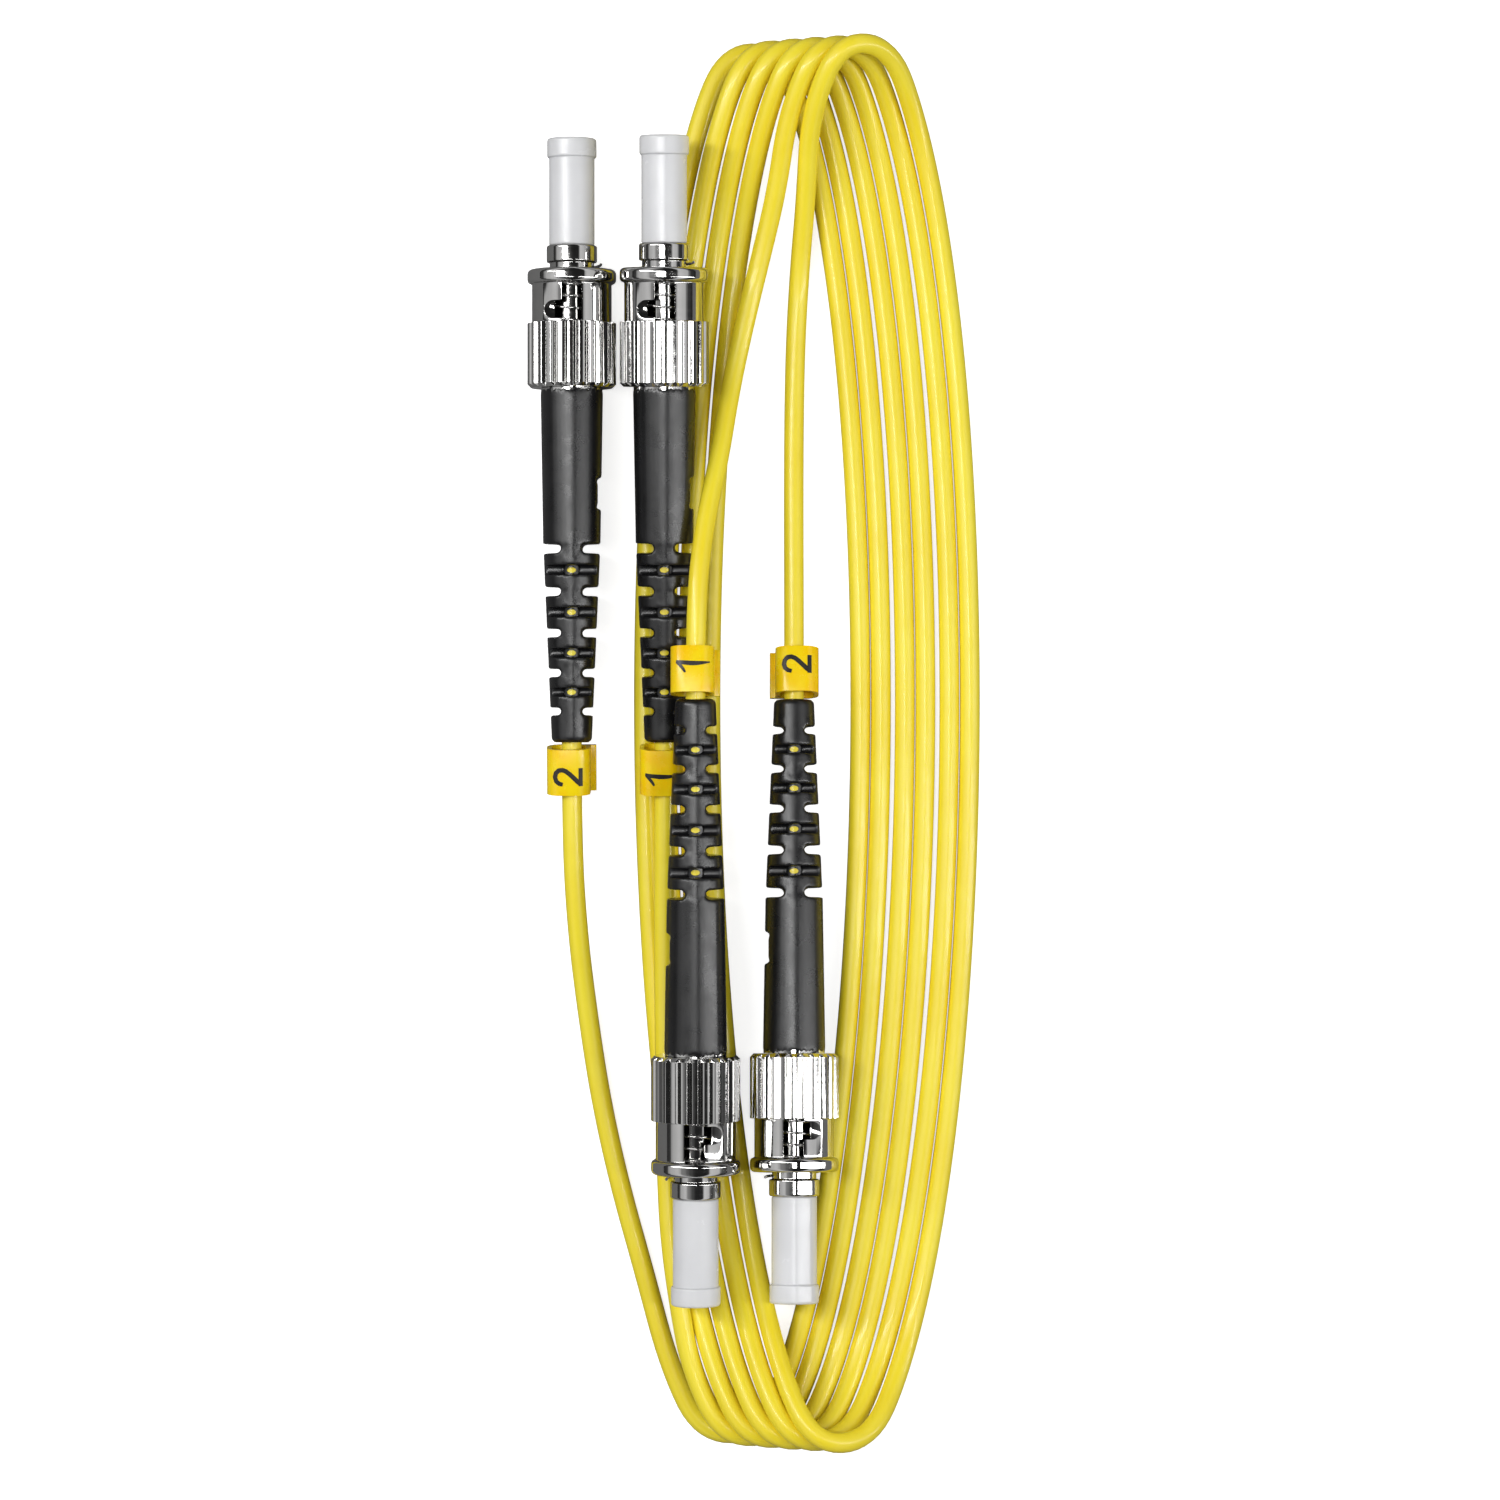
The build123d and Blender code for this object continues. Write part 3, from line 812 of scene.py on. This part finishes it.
def window_cutter():
    """Cutter for the bayonet slot: a window over the whole tube and a round catch beside it."""
    arc = []
    for step in range(13):
        angle = pi / 2 + pi * step / 12
        arc.append((CATCH_X + CATCH_RADIUS * cos(angle), CATCH_Z + CATCH_RADIUS * sin(angle), 0.0))
    corners = [
        (WINDOW_RIGHT, KNURL_FRONT + 0.02, 0.2),
        (WINDOW_RIGHT, FLANGE_REAR - 0.02, 0.2),
        (WINDOW_LEFT, FLANGE_REAR - 0.02, 0.2),
        (WINDOW_LEFT, CATCH_Z + CATCH_RADIUS, 0.15),
        *arc,
        (WINDOW_LEFT, CATCH_Z - CATCH_RADIUS, 0.0),
        (WINDOW_LEFT, KNURL_FRONT + 0.02, 0.0),
    ]
    outline = rounded_outline(corners)
    cutter = bmesh.new()
    for turned in (0.0, pi):
        part = prism(outline, CUT_FROM, CUT_TO)
        data = bpy.data.meshes.new("window")
        part.to_mesh(data)
        part.free()
        data.transform(Matrix.Rotation(turned, 4, "Z") @ Matrix.Rotation(pi / 2, 4, "X"))
        cutter.from_mesh(data)
        bpy.data.meshes.remove(data)
    return finished_mesh(cutter, "window cutter")


class PATCHCORD_OT_coupling_nuts(bpy.types.Operator):
    """Make the knurled bayonet nuts, their flutes repeated round the axis"""

    bl_idname = "patchcord.coupling_nuts"
    bl_label = "Coupling nuts"

    def execute(self, context):
        settings = context.scene.patch_nut
        ring = link("nut ring", knurl_sector(settings))
        add_tree(ring, flutes_tree(), {"Count": settings.flutes, "Material": nickel_material()})
        cutter = link("nut cutter", window_cutter())
        cut = ring.modifiers.new("Bayonet slots", "BOOLEAN")
        cut.object = cutter
        cut.operation = "DIFFERENCE"
        cut.solver = "EXACT"
        add_bevel(ring, 0.05, limit=62.0, segments=2)
        nut = baked(ring, "nut", sharp=38.0)
        bpy.data.objects.remove(cutter)
        if len(nut.polygons) < 1000:
            raise RuntimeError("the coupling nut came out empty")
        for plug in PLUG_NAMES:
            place(nut, f"{plug}_nut", plug, f"{plug}_nut", nickel_material(), "nickel", f"{plug}_coupling_nut")
        return {"FINISHED"}


SPRING_END_GAP = 0.03
SPRING_SIDE_GAP = 0.13
SPRING_FLARE = 0.42        # how far the last turn opens outwards
FLARE_TURN = 0.35          # share of a turn that it takes


class PATCHCORD_OT_nut_springs(bpy.types.Operator):
    """Wind the springs that push the nuts back"""

    bl_idname = "patchcord.nut_springs"
    bl_label = "Nut springs"

    def execute(self, context):
        settings = context.scene.patch_nut
        wire = settings.wire / MM / 2
        low = WASHER_FRONT + wire + SPRING_END_GAP
        high = COLLAR_REAR - wire - SPRING_END_GAP
        tree = spring_tree()
        holder = link("spring", bpy.data.meshes.new("spring"))
        add_tree(
            holder,
            tree,
            {
                "Turns": float(settings.turns),
                "Radius": settings.barrel / MM / 2 + SPRING_SIDE_GAP + wire,
                "Height": high - low,
                "Wire radius": wire,
                "Flare": SPRING_FLARE,
                "Flare start": 1.0 - FLARE_TURN / settings.turns,
                "Material": spring_material(),
            },
        )
        spring = baked(holder, "spring", sharp=60.0)
        if len(spring.polygons) < 1000:
            raise RuntimeError("the spring came out empty")
        spring.transform(Matrix.Translation((0.0, 0.0, low)))
        for plug in PLUG_NAMES:
            piece = place(
                spring, f"{plug}_spring", plug, "root", spring_material(), "spring_steel", f"{plug}_nut_spring"
            )
            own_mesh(piece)
        return {"FINISHED"}


FIBRE_BORE = 0.6
STUB_RADIUS = 1.45
STUB_REAR = -5.0
STUB_FRONT = 0.12
FERRULE_BORE = 1.26
FERRULE_SEAT = 5.98


class PATCHCORD_OT_barrels(bpy.types.Operator):
    """Turn the barrels with their round-edged collars"""

    bl_idname = "patchcord.barrels"
    bl_label = "Barrels"

    def execute(self, context):
        settings = context.scene.patch_nut
        body = settings.barrel / MM / 2
        collar = settings.collar / MM / 2
        outline = rounded_outline(
            (
                (FIBRE_BORE, STUB_REAR, 0.0),
                (STUB_RADIUS, STUB_REAR, 0.1),
                (STUB_RADIUS, STUB_FRONT, 0.0),
                (body, STUB_FRONT, 0.1),
                (body, COLLAR_REAR, 0.08),
                (collar, COLLAR_REAR, 0.16),
                (collar, COLLAR_FRONT, 0.22),
                (FERRULE_BORE, COLLAR_FRONT, 0.06),
                (FERRULE_BORE, FERRULE_SEAT, 0.0),
                (FIBRE_BORE, FERRULE_SEAT, 0.0),
            )
        )
        barrel = finished_mesh(lathe(outline), "barrel")
        for plug in PLUG_NAMES:
            place(barrel, f"{plug}_barrel_turned", plug, "root", nickel_material(), "nickel", f"{plug}_barrel")
        return {"FINISHED"}


# ---------------------------------------------------------------- boots
SLOT_FIRST = -15.8
SLOT_PITCH = 4.25
SLOT_RATIO = 0.965
SLOT_COUNT = 5
SLOT_HEIGHT = 0.95
SLOT_STEP = 0.05
THROAT_RADIUS = 1.04
THROAT_HALF_WIDTH = 0.82
SKIN_MARGIN = 0.12          # how far a skin runs past its slot
SKIN_THICKNESS = 0.06
PEEP = (0.47, 0.27)        # half width and half height of the hole that shows the jacket


def throat_mesh():
    """Thin skins over the cord in the cross slots, each with an oval hole that shows the jacket."""
    shape = bmesh.new()
    at, pitch = SLOT_FIRST, SLOT_PITCH
    rounds, rows = 32, 4
    for number in range(SLOT_COUNT - 1):
        middle = at - pitch / 2
        at -= pitch
        pitch *= SLOT_RATIO
        tall = (SLOT_HEIGHT - number * SLOT_STEP) / 2 + SKIN_MARGIN
        for facing in (1.0, -1.0):
            grid = []
            for step in range(rounds):
                angle = 2 * pi * step / rounds
                inner = Vector((PEEP[0] * cos(angle), PEEP[1] * sin(angle)))
                reach = 1.0 / max(abs(cos(angle)) / THROAT_HALF_WIDTH, abs(sin(angle)) / tall)
                outer = Vector((reach * cos(angle), reach * sin(angle)))
                column = []
                for row in range(rows + 1):
                    spot = inner.lerp(outer, row / rows)
                    bend = spot.x / THROAT_RADIUS
                    x = THROAT_RADIUS * sin(bend)
                    y = -THROAT_RADIUS * cos(bend)
                    column.append(shape.verts.new((facing * x, facing * y, middle + spot.y)))
                grid.append(column)
            for first, second in zip(grid, grid[1:] + grid[:1]):
                for row in range(rows):
                    shape.faces.new((first[row], first[row + 1], second[row + 1], second[row]))
    bmesh.ops.recalc_face_normals(shape, faces=shape.faces)
    data = bpy.data.meshes.new("throats")
    shape.to_mesh(data)
    shape.free()
    holder = link("throats", data)
    thick = holder.modifiers.new("Skin", "SOLIDIFY")
    thick.thickness = SKIN_THICKNESS
    thick.offset = 0.0
    return baked(holder, "throats", sharp=60.0)


class PATCHCORD_OT_boots(bpy.types.Operator):
    """Give the moulded boots soft edges at every slot and recess"""

    bl_idname = "patchcord.boots"
    bl_label = "Boots"

    def execute(self, context):
        settings = context.scene.patch_boot
        data = frame["nodes"]["a1_boot"].data.copy()
        data.transform(seat("a1").inverted())
        shape = bmesh.new()
        shape.from_mesh(data)
        bpy.data.meshes.remove(data)
        holder = link("boot", finished_mesh(shape, "boot"))
        skin = holder.modifiers.new("Skin", "REMESH")
        skin.mode = "VOXEL"
        skin.voxel_size = settings.grain_size / MM
        soften = holder.modifiers.new("Soft edges", "SMOOTH")
        soften.factor = 0.5
        soften.iterations = settings.edge_steps
        boot = baked(holder, "boot", sharp=70.0)
        if len(boot.polygons) < 5000:
            raise RuntimeError("the boot came out empty")
        both = bmesh.new()
        both.from_mesh(boot)
        both.from_mesh(throat_mesh())
        both.to_mesh(boot)
        both.free()
        for plug in PLUG_NAMES:
            place(boot, f"{plug}_boot_moulded", plug, "root", boot_material(), "boot_rubber", f"{plug}_boot")
        return {"FINISHED"}


# ---------------------------------------------------------------- dust caps
CAP_BORE_DEPTH = 7.2
CAP_RECESS = (1.5, 1.4, 1.0)     # radius at the mouth, radius at the floor, depth


class PATCHCORD_OT_dust_caps(bpy.types.Operator):
    """Make the milky dust caps with their rims and hollow ends"""

    bl_idname = "patchcord.dust_caps"
    bl_label = "Dust caps"

    def execute(self, context):
        settings = context.scene.patch_cap
        body = settings.diameter / MM / 2
        rim = settings.rim / MM / 2
        bore = settings.bore / MM / 2
        mouth, floor, depth = CAP_RECESS
        outline = rounded_outline(
            (
                (0.0, CAP_REAR + CAP_BORE_DEPTH, 0.0),
                (bore, CAP_REAR + CAP_BORE_DEPTH, 0.2),
                (bore, CAP_REAR, 0.12),
                (body, CAP_REAR, 0.15),
                (body, CAP_STEP, 0.12),
                (rim, CAP_STEP, 0.18),
                (rim, CAP_FRONT, 0.28),
                (mouth, CAP_FRONT, 0.12),
                (floor, CAP_FRONT - depth, 0.2),
                (0.0, CAP_FRONT - depth, 0.0),
            )
        )
        cap = finished_mesh(lathe(outline), "cap")
        for plug in PLUG_NAMES:
            place(cap, f"{plug}_cap_moulded", plug, f"{plug}_cap", cap_material(), "cap_plastic", f"{plug}_dust_cap")
        return {"FINISHED"}


# ---------------------------------------------------------------- marker rings
RING_CORNER = 1.4
RING_SHIFT = 0.3
RING_TILT = 9.0
LIP_REACH = 0.55
LIP_THICKNESS = 0.55

# strokes of the numerals: x, y and half width, with the numeral 1 high
STROKES = {
    "2": (
        ((0.03, 0.70, 0.07), (0.06, 0.83, 0.08), (0.15, 0.94, 0.08), (0.30, 0.985, 0.08), (0.45, 0.95, 0.08),
         (0.55, 0.85, 0.085), (0.57, 0.71, 0.085), (0.52, 0.58, 0.085), (0.41, 0.44, 0.085), (0.26, 0.28, 0.085),
         (0.13, 0.15, 0.085), (0.06, 0.06, 0.08)),
        ((-0.03, 0.045, 0.075), (0.64, 0.045, 0.075)),
    ),
    "1": (
        ((0.0, 0.76, 0.035), (0.12, 0.83, 0.055), (0.26, 0.94, 0.06), (0.38, 1.06, 0.05)),
        ((0.40, 1.09, 0.055), (0.36, 0.84, 0.075), (0.335, 0.56, 0.085), (0.335, 0.30, 0.075), (0.36, 0.04, 0.05),
         (0.39, -0.14, 0.02)),
    ),
}


def ring_matrix():
    """Tilted frame of a marker ring inside its plug's millimetres."""
    middle = RING_START - bpy.context.scene.patch_marker.length / MM / 2
    return Matrix.Translation((0.0, 0.0, middle)) @ Matrix.Rotation(radians(RING_TILT), 4, "X")


def ring_outlines(settings, lip_side):
    """Outer outline with its lip, and the hole."""
    half = settings.width / MM / 2
    deep = settings.depth / MM / 2
    wall = settings.wall / MM
    shift = -lip_side * RING_SHIFT
    outer = [
        (-half, -deep, RING_CORNER),
        (half, -deep, RING_CORNER),
        (half, deep - LIP_THICKNESS, 0.08),
        (half + LIP_REACH, deep - LIP_THICKNESS, 0.18),
        (half + LIP_REACH, deep, 0.18),
        (-half, deep, RING_CORNER),
    ]
    inner_corner = RING_CORNER - wall
    inner = [
        (-half + wall, -deep + wall, inner_corner),
        (half - wall, -deep + wall, inner_corner),
        (half - wall, deep - wall, inner_corner),
        (-half + wall, deep - wall, inner_corner),
    ]
    outlines = []
    for corners in (outer, inner):
        points = rounded_outline(corners, steps=8)
        points = [(lip_side * x + shift, y) for x, y in points]
        outlines.append(points if lip_side > 0 else points[::-1])
    return outlines


def stroke_mesh(settings, plug, lip_side):
    """Numeral strokes laid on the ring's curved top, slightly proud of it."""
    half = settings.width / MM / 2
    deep = settings.depth / MM / 2
    height = settings.numeral / MM
    forward = 1.0 if plug_axis(plug).y > 0 else -1.0
    shape = bmesh.new()
    for stroke in STROKES[NUMERALS[plug]]:
        fine = []
        for (x0, y0, w0), (x1, y1, w1) in zip(stroke, stroke[1:]):
            for step in range(4):
                share = step / 4
                fine.append((x0 + (x1 - x0) * share, y0 + (y1 - y0) * share, w0 + (w1 - w0) * share))
        fine.append(stroke[-1])
        rows = []
        for index, (x, y, width) in enumerate(fine):
            before = fine[max(0, index - 2)]
            after = fine[min(len(fine) - 1, index + 2)]
            along = Vector((after[0] - before[0], after[1] - before[1])).normalized()
            row = []
            for side in (-1.0, -0.5, 0.0, 0.5, 1.0):
                u = (x - along.y * width * side - 0.3) * height
                v = (y + along.x * width * side - 0.5) * height
                across = -forward * v
                over = max(0.0, abs(across) - (half - RING_CORNER))
                drop = RING_CORNER - sqrt(max(0.0, RING_CORNER**2 - over**2))
                place_at = (across - lip_side * RING_SHIFT, -deep + drop - 0.012, forward * u - 0.42)
                row.append(shape.verts.new(place_at))
            rows.append(row)
        for first, second in zip(rows, rows[1:]):
            for index in range(4):
                shape.faces.new((first[index], first[index + 1], second[index + 1], second[index]))
    data = bpy.data.meshes.new("numeral")
    shape.to_mesh(data)
    shape.free()
    holder = link("numeral", data)
    thick = holder.modifiers.new("Ink", "SOLIDIFY")
    thick.thickness = 0.03
    thick.offset = 0.0
    return baked(holder, "numeral", sharp=50.0)


class PATCHCORD_OT_marker_rings(bpy.types.Operator):
    """Make the amber marker rings and their numerals"""

    bl_idname = "patchcord.marker_rings"
    bl_label = "Marker rings"

    def execute(self, context):
        settings = context.scene.patch_marker
        length = settings.length / MM
        for plug in PLUG_NAMES:
            lip_side = LIP_SIDES[plug]
            outer, inner = ring_outlines(settings, lip_side)
            shape = prism(outer, -length / 2, length / 2, hole=inner)
            holder = link("ring", finished_mesh(shape, "ring"))
            add_bevel(holder, 0.1, limit=50.0)
            ring = baked(holder, "ring", sharp=45.0)
            ring.transform(ring_matrix())
            body = f"{plug}_marker"
            place(ring, f"{plug}_ring", plug, body, marker_material(), "marker_plastic", f"{plug}_marker_ring")
            numeral = stroke_mesh(settings, plug, lip_side)
            numeral.transform(ring_matrix())
            place(numeral, f"{plug}_numeral", plug, body, ink_material(), "boot_rubber")
        return {"FINISHED"}


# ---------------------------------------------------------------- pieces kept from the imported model
class PATCHCORD_OT_inner_parts(bpy.types.Operator):
    """Finish the ferrules, sleeves, washers, jacket ends and fibres"""

    bl_idname = "patchcord.inner_parts"
    bl_label = "Inner parts"

    def execute(self, context):
        finishes = {
            "ferrule": zirconia_material(),
            "crimp_sleeve": nickel_material(),
            "spring_washer": nickel_material(),
            "cord_end": jacket_material(),
            "buffered_fibre": buffer_material(),
        }
        for plug in PLUG_NAMES:
            for part, material in finishes.items():
                data = frame["nodes"][f"{plug}_{part}"].data
                data.materials.clear()
                data.materials.append(material)
        return {"FINISHED"}


# ---------------------------------------------------------------- stage
SKY = (        # degrees from straight up, brightness
    (-180.0, 0.25), (-120.0, 0.20), (-96.0, 0.02), (-80.0, 0.05), (-68.0, 0.60), (-46.0, 0.75), (-34.0, 0.30),
    (-12.0, 0.08), (2.0, 0.02), (32.0, 0.02), (42.0, 0.80), (60.0, 0.70), (74.0, 0.05), (96.0, 0.02), (120.0, 0.20),
    (180.0, 0.25),
)


LAMPS = (      # name, place, size of the strip, watts
    ("key", (-0.30, 0.10, 0.55), (0.06, 0.9), 3.0),
    ("fill", (0.52, -0.05, 0.40), (0.05, 0.9), 1.9),
)
LAMP_TARGET = (0.0067, -0.003, 0.0)
FLOOR_HALF = 3.0           # half the width of the floor sheet
FLOOR_DROP = 0.00004       # keeps the sheet just under the lowest strand


def studio_sky(strength):
    """World light in long soft bands that run along the cords."""
    world = bpy.data.worlds.new("studio")
    bpy.context.scene.world = world
    world.use_nodes = True
    tree = world.node_tree
    background = tree.nodes["Background"]
    split = tree.nodes.new("ShaderNodeSeparateXYZ")
    tree.links.new(tree.nodes.new("ShaderNodeTexCoord").outputs["Generated"], split.inputs[0])
    angle = math_node(tree, "ARCTAN2", split.outputs["X"], split.outputs["Z"])
    share = spread(tree, angle, -pi, pi)
    ramp = tree.nodes.new("ShaderNodeValToRGB")
    ramp.color_ramp.interpolation = "EASE"
    elements = ramp.color_ramp.elements
    while len(elements) > 1:
        elements.remove(elements[-1])
    brightest = max(value for _, value in SKY)
    for index, (degree, value) in enumerate(SKY):
        at = (degree + 180.0) / 360.0
        element = elements[0] if index == 0 else elements.new(at)
        element.position = at
        level = value / brightest
        element.color = (level, level, level * 1.005, 1.0)
    tree.links.new(share, ramp.inputs["Fac"])
    tree.links.new(ramp.outputs["Color"], background.inputs["Color"])
    background.inputs["Strength"].default_value = strength * brightest


def soft_light(name, place_at, size, power):
    lamp = bpy.data.lights.new(name, "AREA")
    lamp.shape = "RECTANGLE"
    lamp.size, lamp.size_y = size
    lamp.energy = power
    holder = link(name, lamp)
    holder.location = place_at
    holder.rotation_mode = "QUATERNION"
    holder.rotation_quaternion = (Vector(LAMP_TARGET) - Vector(place_at)).to_track_quat("-Z", "Y")


def floor_material(settings):
    """A pale lit sheet that looks dull in reflections, so that metal keeps its dark edges."""
    white = tuple(settings.floor)
    material = finish_material(
        "floor", white, darker(white, 0.995), 3.0, 0.85, 0.9, 200.0, 1e-6,
        Specular_IOR_Level=0.1, Emission_Color=white, Emission_Strength=settings.floor_glow,
    )
    tree = material.node_tree
    output = next(node for node in tree.nodes if node.type == "OUTPUT_MATERIAL")
    pale = output.inputs["Surface"].links[0].from_socket
    dull = tree.nodes.new("ShaderNodeBsdfDiffuse")
    dull.inputs["Color"].default_value = darker(white, settings.floor_return)
    choose = tree.nodes.new("ShaderNodeMixShader")
    tree.links.new(tree.nodes.new("ShaderNodeLightPath").outputs["Is Camera Ray"], choose.inputs["Fac"])
    tree.links.new(dull.outputs[0], choose.inputs[1])
    tree.links.new(pale, choose.inputs[2])
    tree.links.new(choose.outputs[0], output.inputs["Surface"])
    return material


class PATCHCORD_OT_stage(bpy.types.Operator):
    """Set the pale floor, the soft light and the camera above the coil"""

    bl_idname = "patchcord.stage"
    bl_label = "Stage"

    def execute(self, context):
        settings = context.scene.patch_stage
        context.scene.view_settings.view_transform = "Standard"
        camera = bpy.data.cameras.new("camera")
        camera.lens = settings.lens
        camera.sensor_width = 36.0
        camera.clip_start, camera.clip_end = 0.01, 10.0
        holder = link("camera", camera)
        distance = settings.view_width * camera.lens / camera.sensor_width
        holder.location = Vector(settings.centre) + Vector((0.0, 0.0, distance))
        context.scene.camera = holder
        sheet = bmesh.new()
        bmesh.ops.create_grid(sheet, x_segments=2, y_segments=2, size=FLOOR_HALF)
        data = bpy.data.meshes.new("floor")
        sheet.to_mesh(data)
        sheet.free()
        data.transform(Matrix.Translation((0.0, 0.0, -FLOOR_DROP)))
        data.materials.append(floor_material(settings))
        link("floor", data)
        studio_sky(settings.light)
        for name, place_at, size, power in LAMPS:
            soft_light(name, place_at, size, power * settings.light)
        return {"FINISHED"}


class PATCHCORD_PT_panel(bpy.types.Panel):
    """Lists the builders of the patch cord's pieces"""

    bl_idname = "PATCHCORD_PT_panel"
    bl_label = "Patch cord"
    bl_space_type = "VIEW_3D"
    bl_region_type = "UI"
    bl_category = "Patch cord"

    def draw(self, context):
        for builder in BUILDERS:
            self.layout.operator(builder.bl_idname)


SETTINGS = {
    "patch_jacket": JacketSettings,
    "patch_nut": NutSettings,
    "patch_boot": BootSettings,
    "patch_cap": CapSettings,
    "patch_marker": MarkerSettings,
    "patch_stage": StageSettings,
}
BUILDERS = (
    PATCHCORD_OT_stage,
    PATCHCORD_OT_cords,
    PATCHCORD_OT_coupling_nuts,
    PATCHCORD_OT_nut_springs,
    PATCHCORD_OT_barrels,
    PATCHCORD_OT_boots,
    PATCHCORD_OT_dust_caps,
    PATCHCORD_OT_marker_rings,
    PATCHCORD_OT_inner_parts,
)


def register():
    for kind in (*SETTINGS.values(), *BUILDERS, PATCHCORD_PT_panel):
        bpy.utils.register_class(kind)
    for name, kind in SETTINGS.items():
        setattr(bpy.types.Scene, name, PointerProperty(type=kind))


def unregister():
    for name in SETTINGS:
        delattr(bpy.types.Scene, name)
    for kind in (PATCHCORD_PT_panel, *reversed(BUILDERS), *reversed(SETTINGS.values())):
        bpy.utils.unregister_class(kind)


def main():
    register()
    for builder in BUILDERS:
        group, name = builder.bl_idname.split(".")
        getattr(getattr(bpy.ops, group), name)()


if __name__ == "__main__":
    main()
